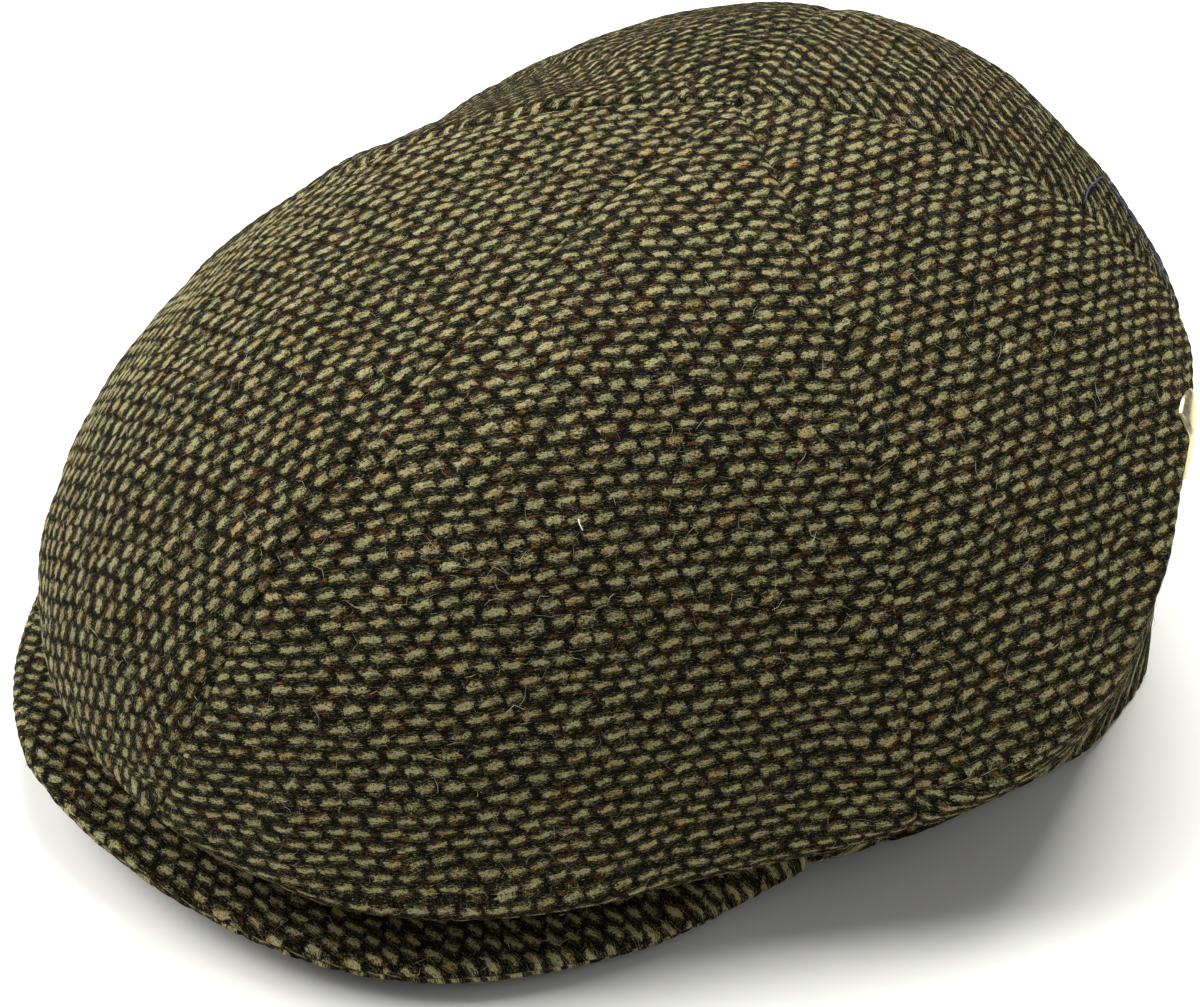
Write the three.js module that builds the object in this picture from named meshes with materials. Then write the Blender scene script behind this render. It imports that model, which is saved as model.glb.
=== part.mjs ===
// Flat cap of tweed: six crown panels, a cloth-covered peak and a small metal badge.
// The cap stands on its rim. Its front is -Y, its wearer's left is +X, up is +Z.

import * as THREE from 'three';

// driving dimensions, millimetres
const rimLength = 181;
const rimWidth = 183;
const crownHeight = 109.5;
const crownAxisBack = 8.2;
const crownLean = 1.6;
const clothWall = 2.2;
const hemWall = 4;
const hemBlend = 0.35;
const collarHeight = 6;
const foldTurn = 5;
const seamGap = 0.3;
const tipRadius = 1.3;

const peakReach = 49.5;
const peakWall = 4.4;
const peakArch = 22.5;
const peakHalfAngle = 72;
const peakSeatGap = 0.3;

const badgeWidth = 13;
const badgeHeight = 19;
const badgeWall = 1.2;
const badgeGap = 0.5;
const badgeAngle = 126;
const badgeLevel = 57;

// facets
const acrossSteps = 13;
const collarSteps = 1;
const underSteps = 7;
const topSteps = 15;
const peakSteps = 40;
const badgeSteps = 20;

const toRadians = Math.PI / 180;

// Crown sections, a row for each direction seen from the axis, counted from the front to the left.
// flare: how far the rim stands outside its oval, as a share of half the rim's width
// lift: height of the rim's lower edge, as a share of the crown's height
// overhang: how far the fullest line stands outside the oval, as a share of half the rim's width
// fullest: height of that line, as a share of the crown's height
// side, top: fullness of the upper curve beside the fullest line and under the top
// crest: height to which the upper curve rises before the junction, 1 for the junction's own
// tuck: how sharply the cloth leaves the collar sideways, 1 at the front, over the peak
const sections = [
  { flare: 0, lift: 0.11, overhang: 0.49, fullest: 0.28, side: 0.23, top: 0.87, crest: 1, tuck: 1 },
  { flare: 0, lift: 0.06, overhang: 0.42, fullest: 0.19, side: 0.05, top: 0.92, crest: 1.03, tuck: 1 },
  { flare: 0, lift: 0.04, overhang: 0.13, fullest: 0.18, side: 0.05, top: 0.92, crest: 1, tuck: 0.8 },
  { flare: 0, lift: 0.045, overhang: 0.18, fullest: 0.3, side: 0.05, top: 0.7, crest: 0.98, tuck: 0.8 },
  { flare: 0.02, lift: 0, overhang: 0.055, fullest: 0.555, side: 0.13, top: 0.56, crest: 0.99, tuck: 0.3 },
  { flare: -0.03, lift: 0, overhang: -0.015, fullest: 0.6, side: 0.27, top: 0.67, crest: 1.01, tuck: 0 },
  { flare: 0, lift: 0, overhang: -0.02, fullest: 0.53, side: 0.31, top: 0.86, crest: 1.03, tuck: 0 },
  { flare: 0, lift: 0, overhang: 0.09, fullest: 0.5, side: 0.29, top: 0.79, crest: 1.02, tuck: 0 },
  { flare: 0, lift: 0, overhang: 0.16, fullest: 0.47, side: 0.27, top: 0.67, crest: 1.02, tuck: 0.2 },
  { flare: 0, lift: 0.03, overhang: 0.15, fullest: 0.43, side: 0.25, top: 0.52, crest: 1.02, tuck: 0.5 },
  { flare: 0, lift: 0.04, overhang: 0.11, fullest: 0.4, side: 0.27, top: 0.44, crest: 1.02, tuck: 0.8 },
  { flare: 0, lift: 0.06, overhang: 0.27, fullest: 0.35, side: 0.25, top: 0.71, crest: 1.01, tuck: 1 },
];

// Dents and folds of the worn cloth: where each one lies, how far it spreads in degrees and in
// climb, and how far it pushes the cloth out, as a share of the crown's height.
const folds = [
  { angle: 88, climb: 1.4, wide: 13, tall: 0.32, push: -0.03 },
  { angle: 96, climb: 2.02, wide: 20, tall: 0.12, push: 0.012 },
  { angle: 12, climb: 2.8, wide: 24, tall: 0.12, push: -0.02 },
  { angle: 275, climb: 1.5, wide: 16, tall: 0.35, push: -0.02 },
  { angle: 0, climb: 3, wide: 3600, tall: 0.14, push: -0.018 },
];

// Seams from the rim to the junction: the direction at each end, in degrees from the front.
const seams = [
  { name: 'front_left', atRim: 5, atTop: 25 },
  { name: 'left', atRim: 76, atTop: 76 },
  { name: 'back_left', atRim: 144, atTop: 138 },
  { name: 'back_right', atRim: 216, atTop: 220 },
  { name: 'right', atRim: 281, atTop: 281 },
  { name: 'front_right', atRim: 349, atTop: 327 },
];

const panels = [
  { name: 'crown_front', from: 'front_right', to: 'front_left' },
  { name: 'crown_front_left', from: 'front_left', to: 'left' },
  { name: 'crown_back_left', from: 'left', to: 'back_left' },
  { name: 'crown_back', from: 'back_left', to: 'back_right' },
  { name: 'crown_back_right', from: 'back_right', to: 'right' },
  { name: 'crown_front_right', from: 'right', to: 'front_right' },
];

// Peak, a row for each share of its half angle: reach and lift of its edge, as shares of
// peakReach and peakArch.
const peakRows = [
  { along: 0, reach: 1.06, lift: 0.52 },
  { along: 0.25, reach: 0.93, lift: 0.33 },
  { along: 0.5, reach: 0.74, lift: 0.16 },
  { along: 0.75, reach: 0.38, lift: 0.07 },
  { along: 1, reach: 0.05, lift: 0.05 },
];

// Smooth curve through evenly spaced rows of a table, closed or with level ends.
function readTable(rows, column, place, closed) {
  const count = rows.length;
  const row = (k) => (closed ? rows[((k % count) + count) % count]
    : rows[Math.min(Math.max(k, 0), count - 1)])[column];
  const k = Math.floor(place);
  const t = place - k;
  const [before, here, next, after] = [row(k - 1), row(k), row(k + 1), row(k + 2)];
  const slope0 = (next - before) / 2;
  const slope1 = (after - here) / 2;
  const t2 = t * t;
  const t3 = t2 * t;
  return (2 * t3 - 3 * t2 + 1) * here + (t3 - 2 * t2 + t) * slope0
    + (3 * t2 - 2 * t3) * next + (t3 - t2) * slope1;
}

function sectionValue(column, angle) {
  return readTable(sections, column, (angle / 360) * sections.length, true);
}

function rimLift(angle) {
  return Math.max(sectionValue('lift', angle), 0) * crownHeight;
}

// Distance from the crown's axis to the rim's ellipse.
function rimDistance(angle) {
  const across = Math.sin(angle * toRadians);
  const along = -Math.cos(angle * toRadians);
  const halfWidth = rimWidth / 2;
  const halfLength = rimLength / 2;
  const a = (across / halfWidth) ** 2 + (along / halfLength) ** 2;
  const b = 2 * crownAxisBack * along / halfLength ** 2;
  const c = (crownAxisBack / halfLength) ** 2 - 1;
  return (-b + Math.sqrt(b * b - 4 * a * c)) / (2 * a);
}

function bezier(t, p0, p1, p2, p3) {
  const u = 1 - t;
  return u * u * u * p0 + 3 * u * u * t * p1 + 3 * u * t * t * p2 + t * t * t * p3;
}

// Crown before its folds. climb runs 0 to 1 up the collar, 1 to 2 from the collar to the
// fullest line and 2 to 3 from there to the junction.
function plainCrown(angle, climb) {
  const oval = rimDistance(angle);
  const rim = oval + sectionValue('flare', angle) * rimWidth / 2;
  const fullestReach = oval + sectionValue('overhang', angle) * rimWidth / 2;
  const collarTop = rimLift(angle) + collarHeight;
  const fullestHeight = Math.max(sectionValue('fullest', angle) * crownHeight,
    collarTop + 1.3 * foldTurn);
  const tuck = sectionValue('tuck', angle);
  let reach = rim;
  let height = rimLift(angle) + collarHeight * climb;
  if (climb > 2) {
    const t = climb - 2;
    const side = fullestHeight + sectionValue('side', angle) * (crownHeight - fullestHeight);
    const crest = sectionValue('crest', angle) * crownHeight;
    reach = bezier(t, fullestReach, fullestReach, sectionValue('top', angle) * fullestReach, 0);
    height = bezier(t, fullestHeight, side, crest, crownHeight);
  } else if (climb > 1) {
    const t = climb - 1;
    const rise = fullestHeight - collarTop;
    reach = bezier(t, rim, rim + 0.6 * tuck * (fullestReach - rim), fullestReach, fullestReach);
    height = bezier(t, collarTop, collarTop + 0.4 * (1 - tuck) * rise,
      fullestHeight - Math.max(0.5 * rise, foldTurn), fullestHeight);
  }
  const direction = angle * toRadians;
  return new THREE.Vector3(reach * Math.sin(direction) + crownLean * (height / crownHeight) ** 2,
    crownAxisBack - reach * Math.cos(direction), height);
}

function normalOf(surface, angle, climb) {
  const turn = 0.5;
  const step = 0.02;
  const lower = Math.max(climb - step, 0);
  const upper = Math.min(climb + step, 2.98);
  const sideways = surface(angle + turn, climb).sub(surface(angle - turn, climb));
  const upwards = surface(angle, upper).sub(surface(angle, lower));
  return sideways.cross(upwards).normalize();
}

// Outer surface of the crown, with its folds.
function crownPoint(angle, climb) {
  let push = 0;
  for (const fold of folds) {
    const around = (THREE.MathUtils.euclideanModulo(angle - fold.angle + 180, 360) - 180) / fold.wide;
    const up = (climb - fold.climb) / fold.tall;
    push += fold.push * crownHeight * Math.exp(-around * around - up * up);
  }
  const point = plainCrown(angle, climb);
  return point.addScaledVector(normalOf(plainCrown, angle, climb), push);
}

function crownNormal(angle, climb) {
  return normalOf(crownPoint, angle, climb);
}

// The cloth is doubled by its hem up the collar, with a short blend above it.
function wallAt(climb) {
  const above = THREE.MathUtils.smoothstep(climb, 1, 1 + hemBlend);
  return THREE.MathUtils.lerp(hemWall, clothWall, above);
}

function climbSteps() {
  const steps = [];
  for (let k = 0; k < collarSteps; k += 1) steps.push(k / collarSteps);
  for (let k = 0; k < underSteps; k += 1) steps.push(1 + k / underSteps);
  for (let k = 0; k <= topSteps; k += 1) steps.push(2 + k / topSteps);
  return steps;
}

// Distance of a point from the crown's leaning axis.
function axisDistance(point) {
  const lean = crownLean * (point.z / crownHeight) ** 2;
  return Math.hypot(point.x - lean, point.y - crownAxisBack);
}

// Climb at which the crown has come in to tipRadius from its axis.
function tipClimb(angle) {
  let low = 2;
  let high = 3;
  for (let k = 0; k < 40; k += 1) {
    const middle = (low + high) / 2;
    const point = crownPoint(angle, middle);
    if (axisDistance(point) > tipRadius) low = middle;
    else high = middle;
  }
  return low;
}

function closedSolid(positions, triangles) {
  const geometry = new THREE.BufferGeometry();
  geometry.setAttribute('position', new THREE.Float32BufferAttribute(positions, 3));
  geometry.setIndex(triangles);
  geometry.computeVertexNormals();
  return geometry;
}

// Closed solid between two grids of points, outer[i][j] and inner[i][j].
function shellBetween(outer, inner) {
  const wide = outer.length;
  const high = outer[0].length;
  const positions = [];
  const triangles = [];
  for (const grid of [outer, inner]) {
    for (const column of grid) {
      for (const point of column) positions.push(point.x, point.y, point.z);
    }
  }
  const out = (i, j) => i * high + j;
  const back = (i, j) => wide * high + i * high + j;
  const quad = (a, b, c, d) => triangles.push(a, b, c, a, c, d);
  for (let i = 0; i + 1 < wide; i += 1) {
    for (let j = 0; j + 1 < high; j += 1) {
      quad(out(i, j), out(i + 1, j), out(i + 1, j + 1), out(i, j + 1));
      quad(back(i, j), back(i, j + 1), back(i + 1, j + 1), back(i + 1, j));
    }
    quad(out(i + 1, 0), out(i, 0), back(i, 0), back(i + 1, 0));
    quad(out(i, high - 1), out(i + 1, high - 1), back(i + 1, high - 1), back(i, high - 1));
  }
  for (let j = 0; j + 1 < high; j += 1) {
    quad(out(0, j), out(0, j + 1), back(0, j + 1), back(0, j));
    quad(out(wide - 1, j + 1), out(wide - 1, j), back(wide - 1, j), back(wide - 1, j + 1));
  }
  return closedSolid(positions, triangles);
}

function seamAngle(seam, climb) {
  return THREE.MathUtils.lerp(seam.atRim, seam.atTop, Math.max(climb - 1, 0) / 2);
}

function panelGeometry(panel) {
  const from = seams.find((seam) => seam.name === panel.from);
  const to = seams.find((seam) => seam.name === panel.to);
  const outer = [];
  const inner = [];
  for (let i = 0; i <= acrossSteps; i += 1) {
    const outerColumn = [];
    const innerColumn = [];
    for (const step of climbSteps()) {
      let left = seamAngle(from, step);
      const right = seamAngle(to, step);
      if (left > right) left -= 360;
      const middle = (left + right) / 2;
      const climb = Math.min(step, tipClimb(middle));
      const point = crownPoint(middle, climb);
      const radius = axisDistance(point);
      const margin = (seamGap / 2) / radius / toRadians;
      const angle = THREE.MathUtils.lerp(left + margin, right - margin, i / acrossSteps);
      const outerPoint = crownPoint(angle, climb);
      const inward = crownNormal(angle, climb).multiplyScalar(-wallAt(climb));
      const innerPoint = outerPoint.clone().add(inward);
      if (step === 0) innerPoint.z = outerPoint.z;
      outerColumn.push(outerPoint);
      innerColumn.push(innerPoint);
    }
    outer.push(outerColumn);
    inner.push(innerColumn);
  }
  return shellBetween(outer, inner);
}

// Point of the peak's middle surface: across runs 0 at the rim to 1 at the edge.
function peakPoint(angle, across) {
  const share = Math.abs(angle) / peakHalfAngle;
  const place = share * (peakRows.length - 1);
  const reach = readTable(peakRows, 'reach', place, false) * peakReach;
  const root = rimLift(angle);
  const lift = readTable(peakRows, 'lift', place, false) * peakArch;
  const direction = angle * toRadians;
  const outward = new THREE.Vector2(Math.sin(direction), -Math.cos(direction));
  const start = rimDistance(angle) + peakSeatGap;
  const distance = start + across * reach;
  const rest = peakWall / 2;
  return new THREE.Vector3(outward.x * distance, crownAxisBack + outward.y * distance,
    rest + root + (lift - root) * across ** 1.5);
}

// Section of the peak: square where it is sewn on, with a round outer edge.
function peakGeometry() {
  const half = peakWall / 2;
  const section = [];
  section.push({ across: 0, side: -1 });
  section.push({ across: 0, side: 1 });
  section.push({ across: 0.4, side: 1 });
  section.push({ across: 0.8, side: 1 });
  section.push({ across: 0.95, side: 0.8 });
  section.push({ across: 1, side: 0 });
  section.push({ across: 0.95, side: -0.8 });
  section.push({ across: 0.8, side: -1 });
  section.push({ across: 0.4, side: -1 });
  const count = section.length;
  const positions = [];
  const triangles = [];
  for (let i = 0; i <= peakSteps; i += 1) {
    const angle = THREE.MathUtils.lerp(-peakHalfAngle, peakHalfAngle, i / peakSteps);
    for (const { across, side } of section) {
      const point = peakPoint(angle, across);
      positions.push(point.x, point.y, point.z + side * half);
    }
  }
  for (let i = 0; i < peakSteps; i += 1) {
    for (let k = 0; k < count; k += 1) {
      const next = (k + 1) % count;
      const a = i * count + k;
      const b = (i + 1) * count + k;
      const c = (i + 1) * count + next;
      const d = i * count + next;
      triangles.push(a, c, b, a, d, c);
    }
  }
  const last = peakSteps * count;
  for (let k = 1; k + 1 < count; k += 1) {
    triangles.push(0, k + 1, k);
    triangles.push(last, last + k, last + k + 1);
  }
  return closedSolid(positions, triangles);
}

// Climb at which the crown's outer surface reaches a height, above the fullest line or below it.
function climbAtHeight(angle, height) {
  let low = 1;
  let high = 3;
  for (let k = 0; k < 40; k += 1) {
    const middle = (low + high) / 2;
    if (crownPoint(angle, middle).z < height) low = middle;
    else high = middle;
  }
  return (low + high) / 2;
}

// The badge is a thin plate with round corners, curved to lie on the cloth.
function badgeGeometry() {
  const rings = 3;
  const front = [];
  const back = [];
  const radius = axisDistance(crownPoint(badgeAngle, climbAtHeight(badgeAngle, badgeLevel)));
  const place = (ring, step, off) => {
    const turn = (step / badgeSteps) * 2 * Math.PI;
    const squareness = 0.5;
    const cos = Math.cos(turn);
    const sin = Math.sin(turn);
    const across = Math.sign(cos) * Math.abs(cos) ** squareness * badgeWidth / 2 * ring / rings;
    const up = Math.sign(sin) * Math.abs(sin) ** squareness * badgeHeight / 2 * ring / rings;
    const angle = badgeAngle + across / radius / toRadians;
    const climb = climbAtHeight(angle, badgeLevel + up);
    return crownPoint(angle, climb).addScaledVector(crownNormal(angle, climb), off);
  };
  const positions = [];
  const triangles = [];
  for (const off of [badgeGap + badgeWall, badgeGap]) {
    const middle = place(0, 0, off);
    positions.push(middle.x, middle.y, middle.z);
    for (let ring = 1; ring <= rings; ring += 1) {
      for (let step = 0; step < badgeSteps; step += 1) {
        const point = place(ring, step, off);
        positions.push(point.x, point.y, point.z);
      }
    }
  }
  const layer = 1 + rings * badgeSteps;
  const at = (face, ring, step) => face * layer
    + (ring === 0 ? 0 : 1 + (ring - 1) * badgeSteps + (step % badgeSteps));
  for (let step = 0; step < badgeSteps; step += 1) {
    triangles.push(at(0, 0, 0), at(0, 1, step), at(0, 1, step + 1));
    triangles.push(at(1, 0, 0), at(1, 1, step + 1), at(1, 1, step));
    for (let ring = 1; ring < rings; ring += 1) {
      const [a, b] = [at(0, ring, step), at(0, ring + 1, step)];
      const [c, d] = [at(0, ring + 1, step + 1), at(0, ring, step + 1)];
      triangles.push(a, b, c, a, c, d);
      triangles.push(a + layer, c + layer, b + layer, a + layer, d + layer, c + layer);
    }
    const [a, b] = [at(0, rings, step), at(0, rings, step + 1)];
    triangles.push(a, a + layer, b + layer, a, b + layer, b);
  }
  return closedSolid(positions, triangles);
}

const tweed = { color: 0x5b5340, roughness: 0.95, metalness: 0 };
const metal = { color: 0xc9bd97, roughness: 0.35, metalness: 1 };

function namedMesh(name, geometry, finish) {
  const mesh = new THREE.Mesh(geometry, new THREE.MeshStandardMaterial(finish));
  mesh.name = name;
  return mesh;
}

const cap = new THREE.Group();
for (const panel of panels) cap.add(namedMesh(panel.name, panelGeometry(panel), tweed));
cap.add(namedMesh('peak', peakGeometry(), tweed));
cap.add(namedMesh('badge', badgeGeometry(), metal));

// The origin is the middle of the cap's footprint.
const middle = new THREE.Box3().setFromObject(cap).getCenter(new THREE.Vector3());
cap.position.set(-middle.x, -middle.y, 0);

export default cap;
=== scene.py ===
import math
import random
import bpy
import bmesh
import numpy as np
from mathutils import Matrix, Vector


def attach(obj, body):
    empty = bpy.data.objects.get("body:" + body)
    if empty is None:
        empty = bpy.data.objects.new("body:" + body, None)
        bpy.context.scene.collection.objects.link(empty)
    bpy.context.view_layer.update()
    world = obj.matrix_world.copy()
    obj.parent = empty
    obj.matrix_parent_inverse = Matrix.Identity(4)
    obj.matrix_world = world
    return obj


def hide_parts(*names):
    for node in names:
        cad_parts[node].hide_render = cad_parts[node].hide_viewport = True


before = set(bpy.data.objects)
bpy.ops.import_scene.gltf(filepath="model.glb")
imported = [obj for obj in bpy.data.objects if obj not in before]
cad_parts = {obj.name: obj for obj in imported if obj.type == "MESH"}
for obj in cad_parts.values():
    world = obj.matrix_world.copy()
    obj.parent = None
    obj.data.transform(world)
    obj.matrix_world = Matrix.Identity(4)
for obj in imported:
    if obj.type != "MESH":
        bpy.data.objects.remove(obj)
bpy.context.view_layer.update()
scene = bpy.context.scene
print("stage: frame loaded")

# helpers


def linear(hexColour):
    channels = [int(hexColour[k:k + 2], 16) / 255 for k in (1, 3, 5)]
    return tuple(c / 12.92 if c <= 0.04045 else ((c + 0.055) / 1.055) ** 2.4 for c in channels) + (1,)


def addNode(tree, kind, settings=None, inputs=None):
    node = tree.nodes.new(kind)
    for name, value in (settings or {}).items():
        setattr(node, name, value)
    for key, value in (inputs or {}).items():
        socket = node.inputs[key]
        if isinstance(value, bpy.types.NodeSocket):
            tree.links.new(value, socket)
        else:
            socket.default_value = value
    return node


def newMaterial(name):
    material = bpy.data.materials.new(name)
    material.use_nodes = True
    material.node_tree.nodes.clear()
    return material, material.node_tree


def finishMaterial(tree, shader):
    addNode(tree, "ShaderNodeOutputMaterial", inputs={"Surface": shader.outputs[0]})


def setRamp(node, stops):
    ramp = node.color_ramp
    while len(ramp.elements) < len(stops):
        ramp.elements.new(1)
    for element, (place, colour) in zip(ramp.elements, stops):
        element.position = place
        element.color = linear(colour)


# shape of the cap, millimetres

shape = {
    "rimLength": 181, "rimWidth": 183, "crownHeight": 109.5, "axisBack": 8.2, "lean": 1.6,
    "collar": 6, "foldTurn": 5, "wall": 2.2, "hemWall": 4, "hemBlend": 0.35,
}

# direction from the front to the left, every 30 degrees
sectionNames = ("flare", "lift", "overhang", "fullest", "side", "top", "crest", "tuck")
sections = np.array([
    (0, 0.11, 0.49, 0.28, 0.23, 0.87, 1, 1),
    (0, 0.06, 0.42, 0.19, 0.05, 0.92, 1.03, 1),
    (0, 0.04, 0.13, 0.18, 0.05, 0.92, 1, 0.8),
    (0, 0.045, 0.18, 0.3, 0.05, 0.7, 0.98, 0.8),
    (0.02, 0, 0.055, 0.555, 0.13, 0.56, 0.99, 0.3),
    (-0.03, 0, -0.015, 0.6, 0.27, 0.67, 1.01, 0),
    (0, 0, -0.02, 0.53, 0.31, 0.86, 1.03, 0),
    (0, 0, 0.09, 0.5, 0.29, 0.79, 1.02, 0),
    (0, 0, 0.16, 0.47, 0.27, 0.67, 1.02, 0.2),
    (0, 0.03, 0.15, 0.43, 0.25, 0.52, 1.02, 0.5),
    (0, 0.04, 0.11, 0.4, 0.27, 0.44, 1.02, 0.8),
    (0, 0.06, 0.27, 0.35, 0.25, 0.71, 1.01, 1),
])

# dents and folds: angle, climb, wide, tall, push
folds = (
    (88, 1.4, 13, 0.32, -0.03),
    (96, 2.02, 20, 0.12, 0.012),
    (12, 2.8, 24, 0.12, -0.02),
    (275, 1.5, 16, 0.35, -0.02),
    (0, 3, 3600, 0.14, -0.018),
)

seams = {
    "front_left": (5, 25), "left": (76, 76), "back_left": (144, 138),
    "back_right": (216, 220), "right": (281, 281), "front_right": (349, 327),
}


def tableValue(name, angle):
    column = sectionNames.index(name)
    place = np.mod(angle / 360, 1) * len(sections)
    k = np.floor(place).astype(int)
    t = place - k
    rows = sections[:, column]
    before, here, after, later = [rows[(k + d) % len(rows)] for d in (-1, 0, 1, 2)]
    slope0, slope1 = (after - before) / 2, (later - here) / 2
    t2, t3 = t * t, t * t * t
    return ((2 * t3 - 3 * t2 + 1) * here + (t3 - 2 * t2 + t) * slope0
            + (3 * t2 - 2 * t3) * after + (t3 - t2) * slope1)


def rimDistance(angle):
    across, along = np.sin(np.radians(angle)), -np.cos(np.radians(angle))
    halfWidth, halfLength = shape["rimWidth"] / 2, shape["rimLength"] / 2
    a = (across / halfWidth) ** 2 + (along / halfLength) ** 2
    b = 2 * shape["axisBack"] * along / halfLength ** 2
    c = (shape["axisBack"] / halfLength) ** 2 - 1
    return (-b + np.sqrt(b * b - 4 * a * c)) / (2 * a)


def rimLift(angle):
    return np.maximum(tableValue("lift", angle), 0) * shape["crownHeight"]


def bezier(t, p0, p1, p2, p3):
    u = 1 - t
    return u * u * u * p0 + 3 * u * u * t * p1 + 3 * u * t * t * p2 + t * t * t * p3


# climb: 0 to 1 up the collar, 1 to 2 up to the fullest line, 2 to 3 up to the junction
def plainCrown(angle, climb):
    top, halfWidth = shape["crownHeight"], shape["rimWidth"] / 2
    oval = rimDistance(angle)
    rim = oval + tableValue("flare", angle) * halfWidth
    reachFull = oval + tableValue("overhang", angle) * halfWidth
    tuck, lift = tableValue("tuck", angle), rimLift(angle)
    collarTop = lift + shape["collar"]
    highFull = np.maximum(tableValue("fullest", angle) * top, collarTop + 1.3 * shape["foldTurn"])
    t = np.clip(climb - 2, 0, 1)
    side = highFull + tableValue("side", angle) * (top - highFull)
    reachTop = bezier(t, reachFull, reachFull, tableValue("top", angle) * reachFull, 0)
    highTop = bezier(t, highFull, side, tableValue("crest", angle) * top, top)
    t = np.clip(climb - 1, 0, 1)
    rise = highFull - collarTop
    reachLow = bezier(t, rim, rim + 0.6 * tuck * (reachFull - rim), reachFull, reachFull)
    highLow = bezier(t, collarTop, collarTop + 0.4 * (1 - tuck) * rise,
                     highFull - np.maximum(0.5 * rise, shape["foldTurn"]), highFull)
    reach = np.where(climb > 2, reachTop, np.where(climb > 1, reachLow, rim))
    high = np.where(climb > 2, highTop, np.where(climb > 1, highLow, lift + shape["collar"] * climb))
    turn = np.radians(angle)
    return np.stack([reach * np.sin(turn) + shape["lean"] * (high / top) ** 2,
                     shape["axisBack"] - reach * np.cos(turn), high], -1)


def normalOf(surface, angle, climb):
    sideways = surface(angle + 0.5, climb) - surface(angle - 0.5, climb)
    upwards = surface(angle, np.minimum(climb + 0.02, 2.98)) - surface(angle, np.clip(climb - 0.02, 0, 2.94))
    normal = np.cross(sideways, upwards)
    return normal / np.maximum(np.linalg.norm(normal, axis=-1, keepdims=True), 1e-9)


def crownPoints(angle, climb):
    angle, climb = np.broadcast_arrays(np.asarray(angle, float), np.asarray(climb, float))
    push = 0 * angle
    for at, up, wide, tall, out in folds:
        around = (np.mod(angle - at + 180, 360) - 180) / wide
        push = push + out * shape["crownHeight"] * np.exp(-around ** 2 - ((climb - up) / tall) ** 2)
    return plainCrown(angle, climb) + normalOf(plainCrown, angle, climb) * push[..., None]


def ripple(u, v, size, seed):
    chance = random.Random(seed)
    total = 0 * u
    for _ in range(7):
        turn, phase = chance.uniform(0, 2 * math.pi), chance.uniform(0, 2 * math.pi)
        wave = 2 * math.pi / (size * chance.uniform(0.7, 1.6))
        total = total + np.sin(wave * (u * math.cos(turn) + v * math.sin(turn)) + phase)
    return total / 3


# camera and lights

view = {
    "azimuth": 63.2, "elevation": 37.1, "roll": -2.7, "distance": 463.5, "pixels": 2450,
    "target": (16.7, -31.1, 40.2),
}
footprint = np.array([-2.283, 26.314, 0])  # where part.mjs puts the crown's own frame, mm


def metres(points):
    return (np.asarray(points) + footprint) / 1000


def makeCamera():
    a, e, r = [math.radians(view[k]) for k in ("azimuth", "elevation", "roll")]
    back = Vector((math.sin(a) * math.cos(e), -math.cos(a) * math.cos(e), math.sin(e)))
    right = Vector((math.cos(a), math.sin(a), 0))
    up = back.cross(right)
    rolledRight = right * math.cos(r) + up * math.sin(r)
    rolledUp = up * math.cos(r) - right * math.sin(r)
    data = bpy.data.cameras.new("camera")
    data.sensor_width = 36
    data.sensor_fit = "HORIZONTAL"
    data.lens = view["pixels"] / 1200 * 36
    data.clip_start, data.clip_end = 0.02, 20
    camera = bpy.data.objects.new("camera", data)
    matrix = Matrix((rolledRight, rolledUp, back)).transposed().to_4x4()
    matrix.translation = Vector(metres(view["target"])) + back * view["distance"] / 1000
    camera.matrix_world = matrix
    scene.collection.objects.link(camera)
    scene.camera = camera


def makeAreaLight(name, azimuth, elevation, distance, size, power, colour):
    a, e = math.radians(azimuth), math.radians(elevation)
    back = Vector((math.sin(a) * math.cos(e), -math.cos(a) * math.cos(e), math.sin(e)))
    data = bpy.data.lights.new(name, "AREA")
    data.shape = "SQUARE"
    data.size, data.energy, data.color = size, power, colour
    light = bpy.data.objects.new(name, data)
    light.location = back * distance + Vector((0, 0, 0.05))
    light.rotation_mode = "QUATERNION"
    light.rotation_quaternion = back.to_track_quat("Z", "Y")
    scene.collection.objects.link(light)


makeCamera()
makeAreaLight("soft_box_top", 215, 66, 1.1, 0.8, 20, (1, 0.99, 0.97))
makeAreaLight("soft_box_left", -42, 42, 1.2, 0.8, 19, (1, 0.99, 0.97))
makeAreaLight("soft_box_right", 120, 35, 1.3, 0.8, 1.6, (0.98, 0.99, 1))
world = bpy.data.worlds.new("studio")
world.use_nodes = True
world.node_tree.nodes["Background"].inputs["Color"].default_value = (1, 1, 1, 1)
world.node_tree.nodes["Background"].inputs["Strength"].default_value = 0.21
scene.world = world
scene.view_settings.view_transform = "Standard"

# a painted studio table: matt and pale
floorMaterial, tree = newMaterial("matt_white_table")
finishMaterial(tree, addNode(tree, "ShaderNodeBsdfPrincipled", inputs={
    "Base Color": linear("#EFEFEC"), "Roughness": 0.9}))
bm = bmesh.new()
bmesh.ops.create_grid(bm, x_segments=1, y_segments=1, size=6)
floorMesh = bpy.data.meshes.new("floor")
bm.to_mesh(floorMesh)
bm.free()
floorMesh.materials.append(floorMaterial)
floor = bpy.data.objects.new("floor", floorMesh)
floor.location.z = -0.0003
scene.collection.objects.link(floor)
print("stage: camera, light and floor")

# tweed

tweed = {
    "rowPitch": 2.65, "dashRepeat": 4.4,   # hopsack of soft woollen yarn, mm
    "dashWide": 0.45, "dashHigh": 0.46,    # half sizes of a light float, shares of its cell
    "relief": 0.3,                         # how far a float stands up, mm
    "yarn": ((0, "#040404"), (0.3, "#090908"), (0.46, "#1B1812"), (0.6, "#423E2A"), (0.76, "#7A7551"), (1, "#C2BB8C")),
    "flecks": ((0, "#5E2C16"), (0.35, "#3C1E13"), (0.65, "#7A5226"), (0.85, "#38431F"), (0.94, "#1C2830")),
}


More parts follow.
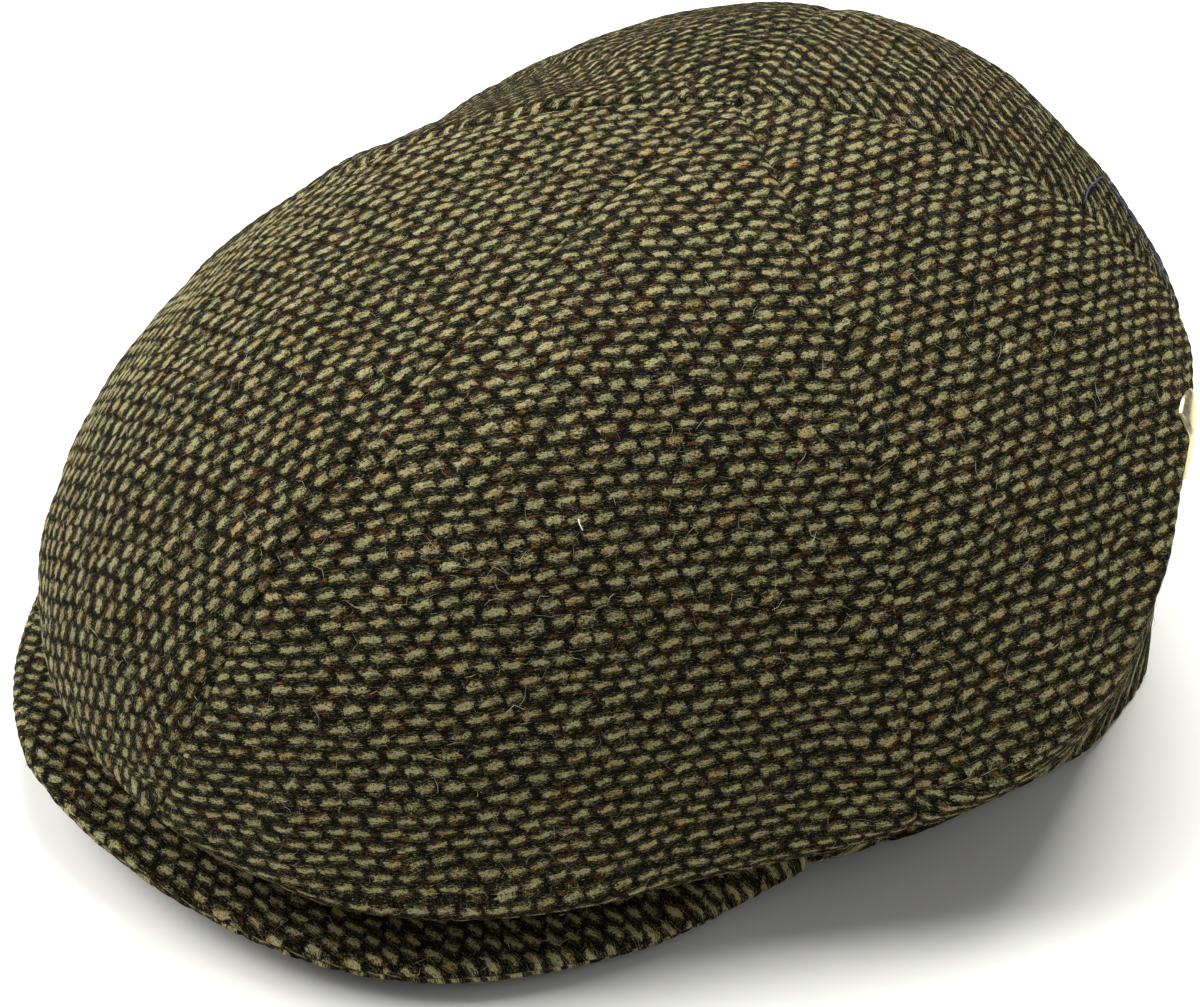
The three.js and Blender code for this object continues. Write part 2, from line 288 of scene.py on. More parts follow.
def makeTweed():
    material, tree = newMaterial("woven_wool_tweed")
    uv = addNode(tree, "ShaderNodeUVMap", {"uv_map": "cloth"}).outputs[0]
    cloth = addNode(tree, "ShaderNodeMapping", inputs={"Vector": uv, "Scale": (100, 100, 1)}).outputs[0]  # mm
    sway = addNode(tree, "ShaderNodeTexNoise", {"noise_dimensions": "2D"}, {"Vector": cloth, "Scale": 0.5, "Detail": 3, "Roughness": 0.6})
    swayed = addNode(tree, "ShaderNodeVectorMath", {"operation": "MULTIPLY_ADD"}, {0: sway.outputs["Color"], 1: (1.7, 1.3, 0), 2: cloth})
    cells = addNode(tree, "ShaderNodeVectorMath", {"operation": "DIVIDE"}, {0: swayed.outputs[0], 1: (tweed["dashRepeat"], tweed["rowPitch"], 1)})
    row = addNode(tree, "ShaderNodeSeparateXYZ", inputs={0: cells.outputs[0]})
    row = addNode(tree, "ShaderNodeMath", {"operation": "FLOOR"}, {0: row.outputs[1]})
    odd = addNode(tree, "ShaderNodeMath", {"operation": "MULTIPLY"}, {0: row.outputs[0], 1: 0.5})
    shift = addNode(tree, "ShaderNodeCombineXYZ", inputs={0: odd.outputs[0]})
    bricks = addNode(tree, "ShaderNodeVectorMath", {"operation": "ADD"}, {0: cells.outputs[0], 1: shift.outputs[0]})
    number = addNode(tree, "ShaderNodeVectorMath", {"operation": "FLOOR"}, {0: bricks.outputs[0]})
    within = addNode(tree, "ShaderNodeVectorMath", {"operation": "FRACTION"}, {0: bricks.outputs[0]})
    chance = addNode(tree, "ShaderNodeTexWhiteNoise", {"noise_dimensions": "2D"}, {"Vector": number.outputs[0]})
    jitter = addNode(tree, "ShaderNodeVectorMath", {"operation": "MULTIPLY_ADD"}, {0: chance.outputs["Color"], 1: (-0.22, -0.2, 0), 2: within.outputs[0]})
    centred = addNode(tree, "ShaderNodeMapping", inputs={"Vector": jitter.outputs[0], "Location": (-0.39, -0.4, 0)})
    slanted = addNode(tree, "ShaderNodeMapping", inputs={"Vector": centred.outputs[0], "Rotation": (0, 0, -0.3), "Scale": (1 / tweed["dashWide"], 1 / tweed["dashHigh"], 0)})
    square = addNode(tree, "ShaderNodeVectorMath", {"operation": "MULTIPLY"}, {0: slanted.outputs[0], 1: slanted.outputs[0]})
    fourth = addNode(tree, "ShaderNodeVectorMath", {"operation": "MULTIPLY"}, {0: square.outputs[0], 1: square.outputs[0]})
    away = addNode(tree, "ShaderNodeVectorMath", {"operation": "DOT_PRODUCT"}, {0: fourth.outputs[0], 1: (1, 0.8, 0)})
    # crest: narrow across the row; it shapes the thin bright line of painted highlight along each float
    crest = addNode(tree, "ShaderNodeVectorMath", {"operation": "DOT_PRODUCT"}, {0: fourth.outputs[0], 1: (1.8, 24, 0)})
    # fibres of the yarn: streaks along the floats, lumps, and stray hairs lying across them; each light float is drawn
    # as a dim body, partly painted shade, with a thin bright core, partly painted highlight
    along = addNode(tree, "ShaderNodeMapping", inputs={"Vector": cloth, "Rotation": (0, 0, 0.25), "Scale": (1.5, 6.5, 1)})
    streaks = addNode(tree, "ShaderNodeTexNoise", {"noise_dimensions": "2D"}, {"Vector": along.outputs[0], "Scale": 1, "Detail": 4, "Roughness": 0.7, "Distortion": 0.8})
    lumps = addNode(tree, "ShaderNodeTexNoise", {"noise_dimensions": "2D"}, {"Vector": cloth, "Scale": 2.6, "Detail": 4, "Roughness": 0.8})
    ragged = addNode(tree, "ShaderNodeMath", {"operation": "MULTIPLY_ADD"}, {0: lumps.outputs[0], 1: 3.9, 2: away.outputs["Value"]})
    ragged = addNode(tree, "ShaderNodeMath", {"operation": "MULTIPLY_ADD"}, {0: streaks.outputs[0], 1: -1.6, 2: ragged.outputs[0]})
    # body: the float's dim mid-tone, its light yarn partly darkened as painted shade around the bright core
    body = addNode(tree, "ShaderNodeMapRange", {"interpolation_type": "SMOOTHSTEP"}, {0: ragged.outputs[0], 1: 0.8, 2: 2.6, 3: 0.28, 4: 0})
    frayed = addNode(tree, "ShaderNodeMath", {"operation": "SUBTRACT"}, {0: ragged.outputs[0], 1: away.outputs["Value"]})
    frayed = addNode(tree, "ShaderNodeMath", {"operation": "ADD"}, {0: frayed.outputs[0], 1: crest.outputs["Value"]})
    # the float's light yarn gathered into a thin bright core: partly the yarn's own colour, partly a painted highlight
    float_core_and_highlight = addNode(tree, "ShaderNodeMapRange", {"interpolation_type": "SMOOTHSTEP"}, {0: frayed.outputs[0], 1: 0.6, 2: 2.6, 3: 1, 4: 0})
    bright = addNode(tree, "ShaderNodeMapRange", inputs={0: chance.outputs["Value"], 1: 0, 2: 1, 3: 0.38, 4: 0.74})
    tone = addNode(tree, "ShaderNodeMath", {"operation": "MULTIPLY_ADD"}, {0: float_core_and_highlight.outputs[0], 1: bright.outputs[0], 2: body.outputs[0]})
    grey = addNode(tree, "ShaderNodeMapRange", {"clamp": False}, {0: streaks.outputs[0], 1: 0.3, 2: 0.7, 3: -0.15, 4: 0.56})
    tone = addNode(tree, "ShaderNodeMath", {"operation": "ADD"}, {0: tone.outputs[0], 1: grey.outputs[0]})
    for turn, seed in ((0.9, 3.1), (2.2, 7.7)):
        across = addNode(tree, "ShaderNodeMapping", inputs={"Vector": cloth, "Location": (seed, seed, 0), "Rotation": (0, 0, turn), "Scale": (0.8, 8, 1)})
        hairs = addNode(tree, "ShaderNodeTexNoise", {"noise_dimensions": "2D"}, {"Vector": across.outputs[0], "Scale": 1, "Detail": 2, "Distortion": 1.6})
        hairs = addNode(tree, "ShaderNodeMapRange", inputs={0: hairs.outputs[0], 1: 0.58, 2: 0.7, 3: 0, 4: 0.34})
        tone = addNode(tree, "ShaderNodeMath", {"operation": "ADD"}, {0: tone.outputs[0], 1: hairs.outputs[0]})
    yarn = addNode(tree, "ShaderNodeValToRGB", inputs={0: tone.outputs[0]})
    setRamp(yarn, tweed["yarn"])
    # large soft patches of redder and greyer wool
    patches = addNode(tree, "ShaderNodeTexNoise", {"noise_dimensions": "2D"}, {"Vector": cloth, "Scale": 0.22, "Detail": 4, "Roughness": 0.7})
    tint = addNode(tree, "ShaderNodeValToRGB", inputs={0: patches.outputs[0]})
    setRamp(tint, ((0.32, "#E8F2E6"), (0.5, "#FFFFFF"), (0.68, "#FFE9D2")))
    tinted = addNode(tree, "ShaderNodeMix", {"data_type": "RGBA", "blend_type": "MULTIPLY"}, {0: 1.0, 6: yarn.outputs[0], 7: tint.outputs[0]})
    # coloured neps spun into the yarn
    stretched = addNode(tree, "ShaderNodeMapping", inputs={"Vector": swayed.outputs[0], "Rotation": (0, 0, 0.5), "Scale": (0.3, 1.0, 1)})
    neps = addNode(tree, "ShaderNodeTexVoronoi", {"voronoi_dimensions": "2D"}, {"Vector": stretched.outputs[0], "Scale": 1, "Randomness": 1})
    nep = addNode(tree, "ShaderNodeSeparateXYZ", inputs={0: neps.outputs["Color"]})
    fleck = addNode(tree, "ShaderNodeValToRGB", inputs={0: nep.outputs[0]})
    setRamp(fleck, tweed["flecks"])
    fleck.color_ramp.interpolation = "CONSTANT"
    soft = addNode(tree, "ShaderNodeMath", {"operation": "MULTIPLY_ADD"}, {0: lumps.outputs[0], 1: 0.5, 2: neps.outputs["Distance"]})
    near = addNode(tree, "ShaderNodeMapRange", inputs={0: soft.outputs[0], 1: 0.34, 2: 0.52, 3: 0.62, 4: 0})
    few = addNode(tree, "ShaderNodeMath", {"operation": "GREATER_THAN"}, {0: nep.outputs[1], 1: 0.45})
    amount = addNode(tree, "ShaderNodeMath", {"operation": "MULTIPLY"}, {0: near.outputs[0], 1: few.outputs[0]})
    colour = addNode(tree, "ShaderNodeMix", {"data_type": "RGBA"}, {0: amount.outputs[0], 6: tinted.outputs[2], 7: fleck.outputs[0]})
    bump = addNode(tree, "ShaderNodeBump", inputs={"Strength": 0.8, "Distance": 0.0003, "Height": tone.outputs[0]})
    finishMaterial(tree, addNode(tree, "ShaderNodeBsdfPrincipled", inputs={
        "Base Color": colour.outputs[2], "Roughness": 0.95, "Specular IOR Level": 0.05, "Normal": bump.outputs[0],
        "Sheen Weight": 0.02, "Sheen Roughness": 0.5, "Sheen Tint": linear("#C9C19A")}))
    return material


tweedMaterial = makeTweed()


def weaveHeight(u, v):
    row = np.floor(v / tweed["rowPitch"])
    inRow = v / tweed["rowPitch"] - row
    dashes = u / tweed["dashRepeat"] + 0.5 * np.mod(row, 2) - 0.16 * (inRow - 0.5)
    inDash = dashes - np.floor(dashes)
    across, high = np.abs(inDash - 0.5) / 0.47, np.abs(inRow - 0.5) / 0.46
    dome = np.sqrt(np.clip(1 - across ** 2.4, 0, 1)) * np.sqrt(np.clip(1 - high ** 2, 0, 1))
    return tweed["relief"] * dome


# crown panels

panels = {  # seams on either side, grain: direction of the straight thread, and fineness
    "crown_front": {"sides": ("front_right", "front_left"), "grain": -8, "turn": 80, "cells": (150, 360)},
    "crown_front_left": {"sides": ("front_left", "left"), "grain": 69, "cells": (216, 384)},
    "crown_back_left": {"sides": ("left", "back_left"), "grain": 91, "cells": (198, 372)},
    "crown_back": {"sides": ("back_left", "back_right"), "grain": 180, "cells": (174, 300)},
    "crown_back_right": {"sides": ("back_right", "right"), "grain": 269, "cells": (144, 270)},
    "crown_front_right": {"sides": ("right", "front_right"), "grain": 291, "cells": (144, 270)},
}
cloth = {"seamDepth": 0.6, "seamReach": 1.6, "puff": 0.35, "innerStep": 6}


def seamAngle(name, climb):
    atRim, atTop = seams[name]
    return atRim + (atTop - atRim) * np.clip((climb - 1) / 2, 0, 1)


def gridNormals(points):
    across = np.gradient(points, axis=0)
    up = np.gradient(points, axis=1)
    normals = np.cross(across, up)
    length = np.linalg.norm(normals, axis=-1, keepdims=True)
    return normals / np.maximum(length, 1e-9)


def closedSheet(name, wide, high, step):
    bm = bmesh.new()
    bmesh.ops.create_grid(bm, x_segments=wide, y_segments=high, size=0.5)
    rimEdges = [e for e in bm.edges if e.is_boundary]
    inner = bmesh.ops.create_grid(bm, x_segments=wide // step, y_segments=high // step, size=0.5)["verts"]
    bmesh.ops.translate(bm, verts=inner, vec=(0, 0, -1))
    innerEdges = [e for e in bm.edges if e.is_boundary and e.verts[0].co.z < -0.5]
    bmesh.ops.bridge_loops(bm, edges=rimEdges + innerEdges)
    bmesh.ops.recalc_face_normals(bm, faces=bm.faces)
    mesh = bpy.data.meshes.new(name)
    bm.to_mesh(mesh)
    bm.free()
    return mesh


def moveSheet(mesh, wide, high, outer, inner, uvs):
    count = len(mesh.vertices)
    places = np.empty(count * 3)
    mesh.vertices.foreach_get("co", places)
    places = places.reshape(-1, 3)
    i = np.clip(np.rint((places[:, 0] + 0.5) * wide).astype(int), 0, wide)
    j = np.clip(np.rint((places[:, 1] + 0.5) * high).astype(int), 0, high)
    below = places[:, 2] < -0.5
    points = np.where(below[:, None], inner[i, j], outer[i, j])
    mesh.vertices.foreach_set("co", metres(points).ravel())
    layer = mesh.uv_layers.new(name="cloth")
    corners = np.empty(len(mesh.loops), int)
    mesh.loops.foreach_get("vertex_index", corners)
    flat = uvs[i, j] - np.where(below, shape["hemWall"], 0)[:, None]  # the cloth runs on round its edge
    layer.data.foreach_set("uv", (flat[corners] / 100).ravel())
    mesh.update()
    mesh.calc_loop_triangles()
    tris = np.empty(len(mesh.loop_triangles) * 3, int)
    mesh.loop_triangles.foreach_get("vertices", tris)
    a, b, c = [points[tris.reshape(-1, 3)[:, k]] for k in range(3)]
    if np.sum(a * np.cross(b, c)) < 0:
        mesh.flip_normals()
    mesh.shade_smooth()


def grainMap(points, grain, climb):
    climbs = np.linspace(1.0, 2.995, 400)
    line = crownPoints(np.full(400, float(grain)), climbs)
    steps = np.linalg.norm(np.diff(line, axis=0), axis=1)
    length = np.concatenate([[0], np.cumsum(steps)])
    tangent = np.gradient(line, axis=0)
    tangent /= np.linalg.norm(tangent, axis=1, keepdims=True)
    flat = points.reshape(-1, 3)
    place = np.interp((climb + 0 * points[..., 0]).ravel(), climbs, length)
    for _ in range(12):
        here = np.stack([np.interp(place, length, line[:, c]) for c in range(3)], -1)
        ahead = np.stack([np.interp(place, length, tangent[:, c]) for c in range(3)], -1)
        place = np.clip(place + np.clip(np.sum((flat - here) * ahead, -1) * 0.6, -6, 6), 0, length[-1])
    here = np.stack([np.interp(place, length, line[:, c]) for c in range(3)], -1)
    ahead = np.stack([np.interp(place, length, tangent[:, c]) for c in range(3)], -1)
    sideways = np.array([math.cos(math.radians(grain)), math.sin(math.radians(grain)), 0])
    off = flat - here
    wide = off @ sideways
    deep = np.linalg.norm(off - wide[:, None] * sideways, axis=1)
    chord = np.hypot(wide, deep)
    half = np.arctan2(deep, np.abs(wide))
    arc = np.sign(wide) * chord * np.where(half > 1e-3, half / np.maximum(np.sin(half), 1e-6), 1)
    below = np.sum(off * ahead, -1)
    return np.stack([arc, place + below], -1).reshape(points.shape[:-1] + (2,))


surfaces = []


def makePanel(name, panel):
    wide, high = panel["cells"]
    share = np.linspace(0, 1, wide + 1)[:, None]
    climbs = np.linspace(0, 2.998, 600)
    left, right = panel["sides"]
    a0, a1 = seamAngle(left, climbs), seamAngle(right, climbs)
    a0 = np.where(a0 > a1, a0 - 360, a0)
    spine = crownPoints((a0 + a1) / 2, climbs)
    run = np.concatenate([[0], np.cumsum(np.linalg.norm(np.diff(spine, axis=0), axis=1))])
    climb = np.interp(np.linspace(0, run[-1], high + 1), run, climbs)[None, :]
    a0, a1 = seamAngle(left, climb), seamAngle(right, climb)
    a0 = np.where(a0 > a1, a0 - 360, a0)
    angle = a0 + (a1 - a0) * share
    smooth = crownPoints(angle, climb + 0 * share)
    normals = gridNormals(smooth)
    along = np.concatenate([np.zeros((1, high + 1)), np.cumsum(np.linalg.norm(np.diff(smooth, axis=0), axis=2), axis=0)])
    nearSeam = np.minimum(along, along[-1] - along)
    uvs = grainMap(smooth, panel["grain"], climb)
    turn = math.radians(panel.get("turn", 0))
    u = uvs[..., 0] * math.cos(turn) + uvs[..., 1] * math.sin(turn)
    v = uvs[..., 1] * math.cos(turn) - uvs[..., 0] * math.sin(turn)
    uvs = np.stack([u + 0.35 * ripple(u, v, 14, name + "u"), v + 0.35 * ripple(u, v, 14, name + "v")], -1)
    fade = np.clip(nearSeam / cloth["seamReach"], 0, 1) ** 0.7
    room = np.clip(along[-1] / 16, 0, 1)
    push = weaveHeight(uvs[..., 0], uvs[..., 1]) * fade
    push = push - cloth["seamDepth"] * np.exp(-(nearSeam / cloth["seamReach"]) ** 2) * (0.2 + 0.8 * room)
    push = push + cloth["puff"] * ripple(u, v, 22, name + "p") * fade * room
    outer = smooth + normals * push[..., None]
    surfaces.append((outer, normals))
    above = np.clip((climb - 1) / shape["hemBlend"], 0, 1)
    wall = shape["hemWall"] + (shape["wall"] - shape["hemWall"]) * above * above * (3 - 2 * above)
    wall = wall + 0 * nearSeam
    inner = smooth - normals * wall[..., None]
    inner[:, 0, 2] = smooth[:, 0, 2]
    mesh = closedSheet(name + "_cloth", wide, high, cloth["innerStep"])
    moveSheet(mesh, wide, high, outer, inner, uvs)
    mesh.materials.append(tweedMaterial)
    piece = bpy.data.objects.new(name + "_cloth", mesh)
    scene.collection.objects.link(piece)
    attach(piece, "root")
    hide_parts(name)
    print("piece", piece.name, len(mesh.loop_triangles), "triangles")
    return piece


for name, panel in panels.items():
    makePanel(name, panel)

# peak

peak = {
    "reach": 49.5, "arch": 22.5, "halfAngle": 67, "wall": 4.4, "seat": 0.3, "grain": 20,
    "reachShares": (1.06, 0.94, 0.76, 0.38, 0), "archShares": (0.52, 0.33, 0.16, 0.07, 0.05),
    "cells": (150, 440),
}


def shareAt(rows, share):
    rows = np.array((rows[0],) + tuple(rows) + (rows[-1],), float)
    place = np.clip(share, 0, 1) * (len(rows) - 3)
    k = np.minimum(np.floor(place).astype(int), len(rows) - 4)
    t = place - k
    p0, p1, p2, p3 = [rows[k + d] for d in range(4)]
    m0, m1 = (p2 - p0) / 2, (p3 - p1) / 2
    t2, t3 = t * t, t * t * t
    return (2 * t3 - 3 * t2 + 1) * p1 + (t3 - 2 * t2 + t) * m0 + (3 * t2 - 2 * t3) * p2 + (t3 - t2) * m1


def peakMiddle(angle, across):
    share = np.abs(angle) / peak["halfAngle"]
    reach = peak["reach"] * shareAt(peak["reachShares"], share)
    edge = peak["arch"] * shareAt(peak["archShares"], share)
    distance = rimDistance(angle) + peak["seat"] + across * reach
    turn = np.radians(angle)
    lift = rimLift(angle)
    return np.stack([distance * np.sin(turn), shape["axisBack"] - distance * np.cos(turn),
                     peak["wall"] / 2 + lift + (edge - lift) * across ** 1.5], -1), reach


def makePeak():
    around, along = peak["cells"]
    s = np.linspace(0, 1, around + 1)[:, None]
    angle = np.linspace(-peak["halfAngle"], peak["halfAngle"], along + 1)[None, :]
    across = np.where(s < 0.5, s * 2, 2 - s * 2)
    across = 1 - (1 - across) ** 1.25
    middle, reach = peakMiddle(angle, across)
    half = peak["wall"] / 2 * (1 - 0.6 * np.clip((np.abs(angle) / peak["halfAngle"] - 0.8) / 0.2, 0, 1) ** 2)
    inside = np.clip((across * reach - (reach - half * 1.3)) / (half * 1.3), 0, 1)
    thick = half * np.sqrt(np.clip(1 - inside ** 2, 0, 1))
    slope, _ = peakMiddle(angle + 0.2, across)
    out, _ = peakMiddle(angle, np.clip(across + 0.01, 0, 1.01))
    up = np.cross(slope - middle, out - middle)
    up *= np.sign(up[..., 2:3]) / np.maximum(np.linalg.norm(up, axis=-1, keepdims=True), 1e-9)
    side = np.where(s < 0.5, 1.0, -1.0)
    points = middle + up * (thick * side)[..., None]
    unfolded = np.where(s < 0.5, across * reach, 2 * reach - across * reach + half)
    turn = np.radians(angle)
    far = rimDistance(angle) + unfolded
    flat = np.stack([far * np.sin(turn), -far * np.cos(turn)], -1)
    c, d = math.cos(math.radians(peak["grain"])), math.sin(math.radians(peak["grain"]))
    u, v = flat[..., 0] * c + flat[..., 1] * d, flat[..., 1] * c - flat[..., 0] * d
    uvs = np.stack([u + 0.35 * ripple(u, v, 14, "peakU"), v + 0.35 * ripple(u, v, 14, "peakV")], -1)
    push = weaveHeight(uvs[..., 0], uvs[..., 1]) * np.clip(across * 4, 0, 1)
    around3 = np.gradient(points, axis=0)
    lengthways = np.gradient(points, axis=1)
    normals = np.cross(lengthways, around3)
    normals /= np.maximum(np.linalg.norm(normals, axis=-1, keepdims=True), 1e-9)
    normals *= np.where(np.sum(normals * up * side[..., None], -1, keepdims=True) < -0.2, -1, 1)
    points = points + normals * push[..., None]
    surfaces.append((points, normals))
    bm = bmesh.new()
    bmesh.ops.create_grid(bm, x_segments=around, y_segments=along, size=0.5)
    mesh = bpy.data.meshes.new("peak_cloth")
    bm.to_mesh(mesh)
    bm.free()
    moveSheet(mesh, around, along, points, points, uvs)
    bm = bmesh.new()
    bm.from_mesh(mesh)
    bmesh.ops.remove_doubles(bm, verts=[v for v in bm.verts if v.is_boundary], dist=0.00001)
    bmesh.ops.holes_fill(bm, edges=[e for e in bm.edges if e.is_boundary], sides=0)
    bmesh.ops.recalc_face_normals(bm, faces=bm.faces)
    bm.to_mesh(mesh)
    bm.free()
    mesh.shade_smooth()
    mesh.materials.append(tweedMaterial)
    piece = bpy.data.objects.new("peak_cloth", mesh)
    scene.collection.objects.link(piece)
    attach(piece, "root")
    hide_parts("peak")
    print("piece", piece.name, len(mesh.polygons), "faces")


makePeak()

# badge

badge = {"angle": 123.5, "level": 59, "wide": 10, "high": 15.5, "wall": 0.9, "gap": 0.2, "dome": 0.3, "cells": 24}


def climbAt(angle, height):
    low, high = 1 + 0 * angle, 3 + 0 * angle
    for _ in range(30):
        middle = (low + high) / 2
        below = crownPoints(angle, middle)[..., 2] < height
        low, high = np.where(below, middle, low), np.where(below, high, middle)
    return (low + high) / 2


def makeBadge():
    # thin brass plate with pale gold plating, left bare
    material, tree = newMaterial("pale_gold_plated_brass")
    place = addNode(tree, "ShaderNodeTexCoord")
    wear = addNode(tree, "ShaderNodeTexNoise", inputs={"Vector": place.outputs["Object"], "Scale": 900, "Detail": 3})
    rough = addNode(tree, "ShaderNodeMapRange", inputs={0: wear.outputs[0], 1: 0.3, 2: 0.7, 3: 0.2, 4: 0.36})
    finishMaterial(tree, addNode(tree, "ShaderNodeBsdfPrincipled", inputs={
        "Base Color": linear("#D8CBA0"), "Metallic": 1.0, "Roughness": rough.outputs[0]}))
    count = badge["cells"]
    a = np.linspace(-1, 1, count + 1)[:, None]
    b = np.linspace(-1, 1, count + 1)[None, :]
    x, y = a * np.sqrt(1 - 0.22 * b * b), b * np.sqrt(1 - 0.22 * a * a)
    at = crownPoints(np.array(float(badge["angle"])), climbAt(np.array(float(badge["angle"])), badge["level"]))
    radius = math.hypot(at[0], at[1] - shape["axisBack"])
    angle = badge["angle"] + np.degrees(x * badge["wide"] / 2 / radius)
    climb = climbAt(angle, badge["level"] + y * badge["high"] / 2)
    base = crownPoints(angle, climb)
    normals = normalOf(crownPoints, angle, climb)
    edge = np.clip((np.maximum(np.abs(a), np.abs(b)) - 0.8) / 0.2, 0, 1)
    lift = badge["gap"] + badge["wall"] - 0.5 * edge ** 2 + badge["dome"] * (1 - x * x) * (1 - y * y)
    outer = base + normals * lift[..., None]
    inner = base + normals * badge["gap"]
    mesh = closedSheet("badge_plate", count, count, 1)
    moveSheet(mesh, count, count, outer, inner, np.stack([x, y], -1))
    mesh.materials.append(material)
    piece = bpy.data.objects.new("badge_plate", mesh)
    scene.collection.objects.link(piece)
    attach(piece, "root")
    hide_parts("badge")


makeBadge()
print("stage: badge")

# stray fibres

fuzz = {
    "doublings": 13, "radius": 0.026, "length": (1.0, 3.8), "rise": (0.08, 0.75), "bend": 0.9,  # mm
    "shades": ((0, "#B5AE86"), (0.3, "#8B8663"), (0.6, "#55503A"), (0.78, "#181512"), (0.91, "#6E341C"), (0.95, "#CFCBB4")),
}


def makeFuzz():
    # loose wool hairs that stand out of the brushed cloth
    material, tree = newMaterial("stray_wool_hair")
    uv = addNode(tree, "ShaderNodeUVMap", {"uv_map": "strand"}).outputs[0]
    number = addNode(tree, "ShaderNodeSeparateXYZ", inputs={0: uv})
    shade = addNode(tree, "ShaderNodeValToRGB", inputs={0: number.outputs[0]})
    setRamp(shade, fuzz["shades"])
    shade.color_ramp.interpolation = "CONSTANT"
    finishMaterial(tree, addNode(tree, "ShaderNodeBsdfPrincipled", inputs={
        "Base Color": shade.outputs[0], "Roughness": 0.7, "Specular IOR Level": 0.3}))
    bm = bmesh.new()
    bmesh.ops.create_cone(bm, cap_ends=True, segments=3, radius1=0.2, radius2=0.2, depth=1)
    bmesh.ops.bisect_plane(bm, geom=bm.verts[:] + bm.edges[:] + bm.faces[:], plane_co=(0, 0, 0), plane_no=(0, 0, 1))
    for k in range(fuzz["doublings"]):
        copies = bmesh.ops.duplicate(bm, geom=bm.verts[:] + bm.edges[:] + bm.faces[:])["geom"]
        verts = [part for part in copies if isinstance(part, bmesh.types.BMVert)]
        bmesh.ops.translate(bm, verts=verts, vec=(2 ** k, 0, 0))
    mesh = bpy.data.meshes.new("stray_hairs")
    bm.to_mesh(mesh)
    bm.free()
    places = np.empty(len(mesh.vertices) * 3)
    mesh.vertices.foreach_get("co", places)
    places = places.reshape(-1, 3)
    number = np.rint(places[:, 0]).astype(int)
    ring = np.stack([places[:, 0] - number, places[:, 1]], -1) / 0.2
    along = places[:, 2] + 0.5
    chance = np.random.default_rng(11)
    count = 2 ** fuzz["doublings"]
    starts, normals, areas = [], [], []
    for points, facing in surfaces:
        wide, high = np.diff(points, axis=0)[:, :-1], np.diff(points, axis=1)[:-1]
        areas.append(np.linalg.norm(np.cross(wide, high), axis=-1).ravel())
        starts.append((points[:-1, :-1] + wide * 0.5 + high * 0.5).reshape(-1, 3))
        normals.append(facing[:-1, :-1].reshape(-1, 3))
    areas = np.concatenate(areas)
    chosen = chance.choice(len(areas), count, p=areas / areas.sum())
    start, normal = np.concatenate(starts)[chosen], np.concatenate(normals)[chosen]
    heading = np.cross(normal, chance.normal(size=(count, 3)))
    heading /= np.linalg.norm(heading, axis=1, keepdims=True)
    sideways = np.cross(normal, heading)
    length = chance.uniform(*fuzz["length"], count)
    rise = fuzz["rise"][0] + (fuzz["rise"][1] - fuzz["rise"][0]) * chance.random(count) ** 2.5
    end = rise * chance.uniform(-0.2, 1.3, count)
    bend = chance.normal(0, fuzz["bend"] / 3, count) * length
    t = along[:, None]
    lift = np.where(t < 0.5, t * 2 * rise[number][:, None], rise[number][:, None] + (t * 2 - 1) * (end - rise)[number][:, None])
    path = start[number] + heading[number] * length[number][:, None] * (t - 0.5) + normal[number] * (lift + 0.02)
    path = path + sideways[number] * (bend[number][:, None] * 4 * t * (1 - t))
    thick = fuzz["radius"] * chance.uniform(0.7, 1.5, count)[number][:, None] * (1 - 0.5 * np.abs(2 * t - 1))
    points = path + (sideways[number] * ring[:, :1] + normal[number] * ring[:, 1:]) * thick
    mesh.vertices.foreach_set("co", metres(points).ravel())
    layer = mesh.uv_layers.new(name="strand")
    corners = np.empty(len(mesh.loops), int)
    mesh.loops.foreach_get("vertex_index", corners)
    shades = np.stack([chance.random(count), np.zeros(count)], -1)
    layer.data.foreach_set("uv", shades[number[corners]].ravel())
    mesh.update()
    mesh.materials.append(material)
    piece = bpy.data.objects.new("stray_hairs", mesh)
    scene.collection.objects.link(piece)
    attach(piece, "root")
    mesh.calc_loop_triangles()
    print("piece", piece.name, len(mesh.loop_triangles), "triangles")


makeFuzz()
print("stage: stray hairs")

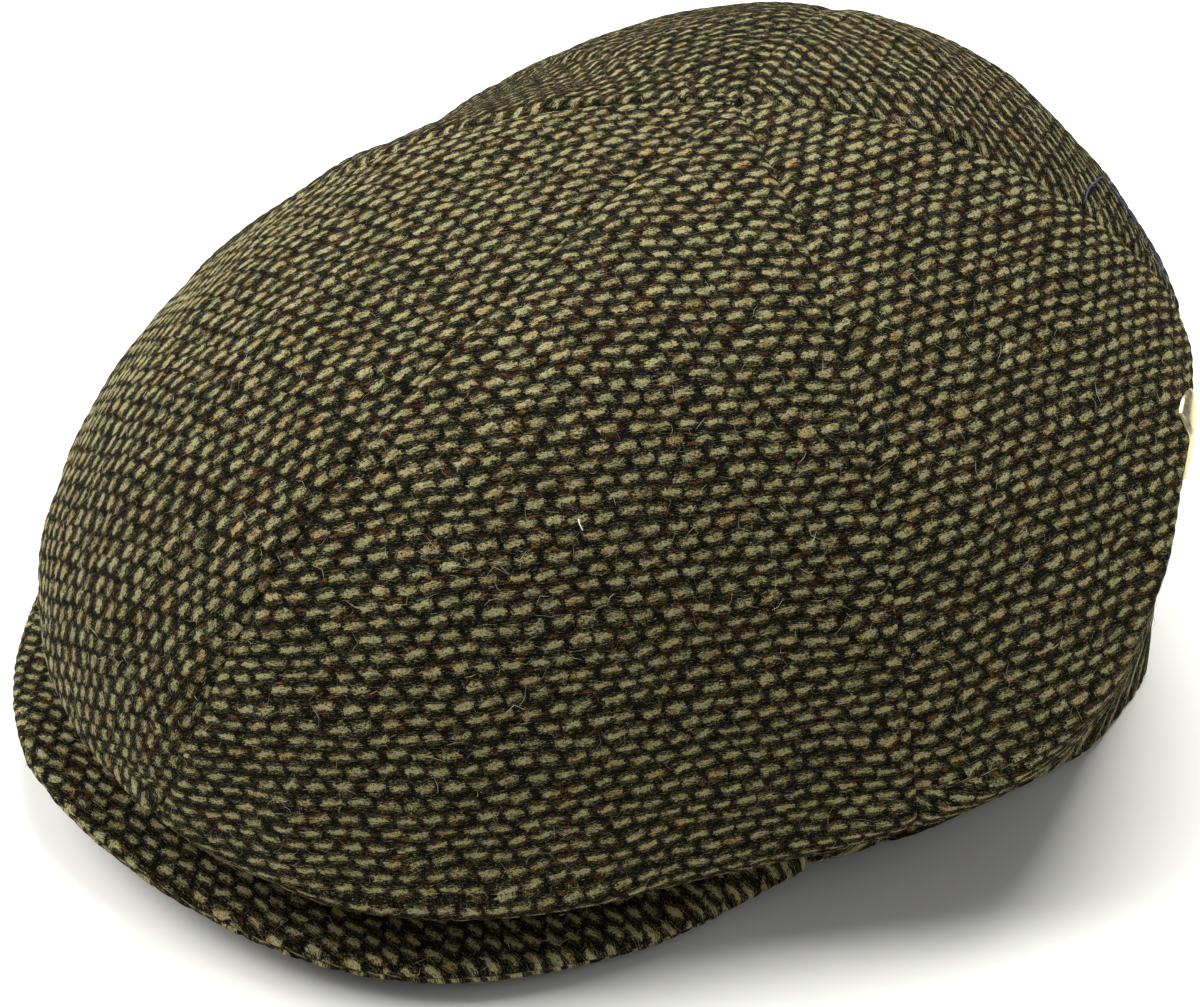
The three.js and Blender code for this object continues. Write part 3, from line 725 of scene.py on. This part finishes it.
threads = {  # direction, climb and height above the cloth along each thread
    "blue_thread": {"colour": "#25325A", "radius": 0.17, "steps": 60, "path": (
        (141, 2.472, 0.6), (144.5, 2.465, 0.9), (147.5, 2.448, 1.4), (151, 2.419, 1.4), (149, 2.375, 1.3),
        (146, 2.326, 1.3), (143, 2.272, 1.4), (139, 2.233, 1))},
    "white_lint": {"colour": "#F2F0EA", "radius": 0.1, "steps": 8, "path": (
        (43.4, 2.599, 0.5), (43.6, 2.594, 0.7), (44, 2.588, 0.55))},
}


def makeThread(name, thread):
    # a loose end of sewing cotton, lying on the cloth
    material, tree = newMaterial(name + "_cotton")
    finishMaterial(tree, addNode(tree, "ShaderNodeBsdfPrincipled", inputs={
        "Base Color": linear(thread["colour"]), "Roughness": 0.8}))
    share = np.linspace(0, 1, thread["steps"] + 1)
    angle, climb, lift = [shareAt(column, share) for column in zip(*thread["path"])]
    path = crownPoints(angle, climb) + normalOf(crownPoints, angle, climb) * lift[:, None]
    ahead = np.gradient(path, axis=0)
    sideways = np.cross(ahead, normalOf(crownPoints, angle, climb))
    sideways /= np.linalg.norm(sideways, axis=1, keepdims=True)
    upwards = np.cross(sideways, ahead)
    upwards /= np.linalg.norm(upwards, axis=1, keepdims=True)
    turn = np.linspace(0, 2 * math.pi, 7)[:, None, None]
    points = path + (sideways * np.cos(turn) + upwards * np.sin(turn)) * thread["radius"]
    bm = bmesh.new()
    bmesh.ops.create_grid(bm, x_segments=6, y_segments=thread["steps"], size=0.5)
    mesh = bpy.data.meshes.new(name)
    bm.to_mesh(mesh)
    bm.free()
    moveSheet(mesh, 6, thread["steps"], points, points, np.zeros(points.shape[:2] + (2,)))
    bm = bmesh.new()
    bm.from_mesh(mesh)
    bmesh.ops.remove_doubles(bm, verts=[v for v in bm.verts if v.is_boundary], dist=0.000001)
    bmesh.ops.holes_fill(bm, edges=[e for e in bm.edges if e.is_boundary], sides=0)
    bmesh.ops.recalc_face_normals(bm, faces=bm.faces)
    bm.to_mesh(mesh)
    bm.free()
    mesh.materials.append(material)
    piece = bpy.data.objects.new(name, mesh)
    scene.collection.objects.link(piece)
    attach(piece, "root")


for name, thread in threads.items():
    makeThread(name, thread)
print("stage: loose threads")
